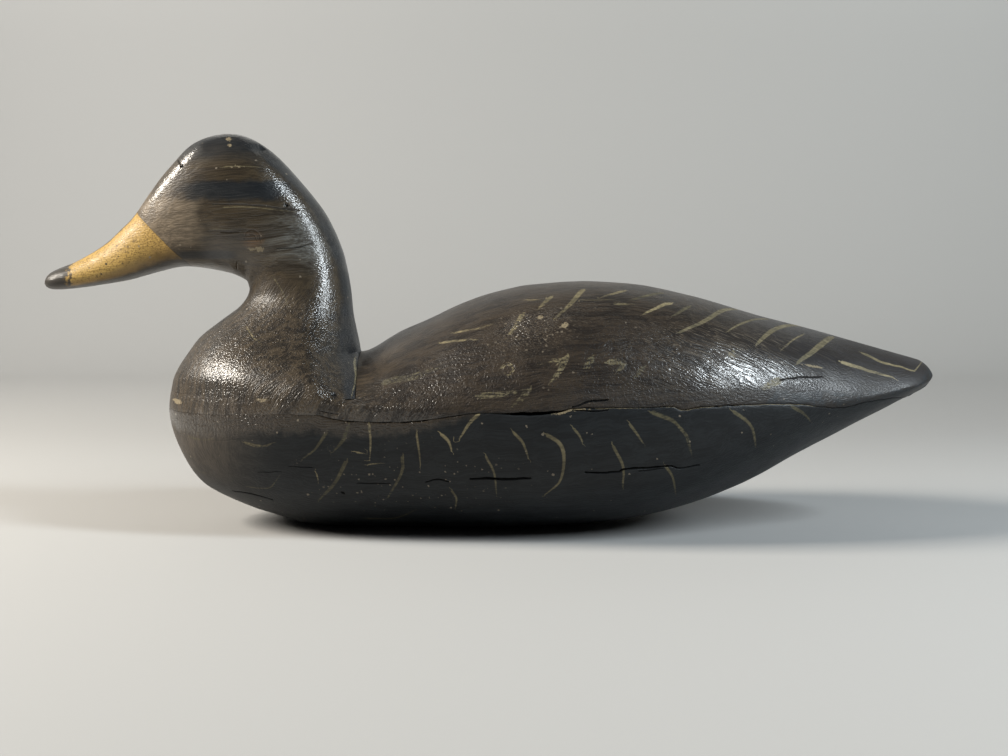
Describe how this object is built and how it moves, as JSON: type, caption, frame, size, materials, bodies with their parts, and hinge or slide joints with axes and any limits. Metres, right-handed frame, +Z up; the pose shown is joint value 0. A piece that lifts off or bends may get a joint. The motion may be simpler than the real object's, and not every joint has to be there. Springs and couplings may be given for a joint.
{
  "type": "carved wooden duck decoy",
  "caption": "Carved and painted black duck decoy: a head, neck and bill block set on a two-board wooden body that rests on its flat belly.",
  "frame": {"origin": "centre of the bounding box in plan, at the height of the surface that the belly rests on", "axes": "-X towards the tip of the bill, +X towards the tip of the tail, +Y towards the duck's right side, +Z up"},
  "size_m": [0.4303, 0.156, 0.1879],
  "materials": {
    "head_paint": "aged glossy dark brown paint over wood, with an ochre bill",
    "back_paint": "aged glossy dark brown paint with olive feather strokes",
    "belly_paint": "aged satin blue-black paint with olive feather strokes"
  },
  "bodies": {
    "root": {"head": "head_paint", "upper_body": "back_paint", "lower_body": "belly_paint"}
  },
  "joints": []
}
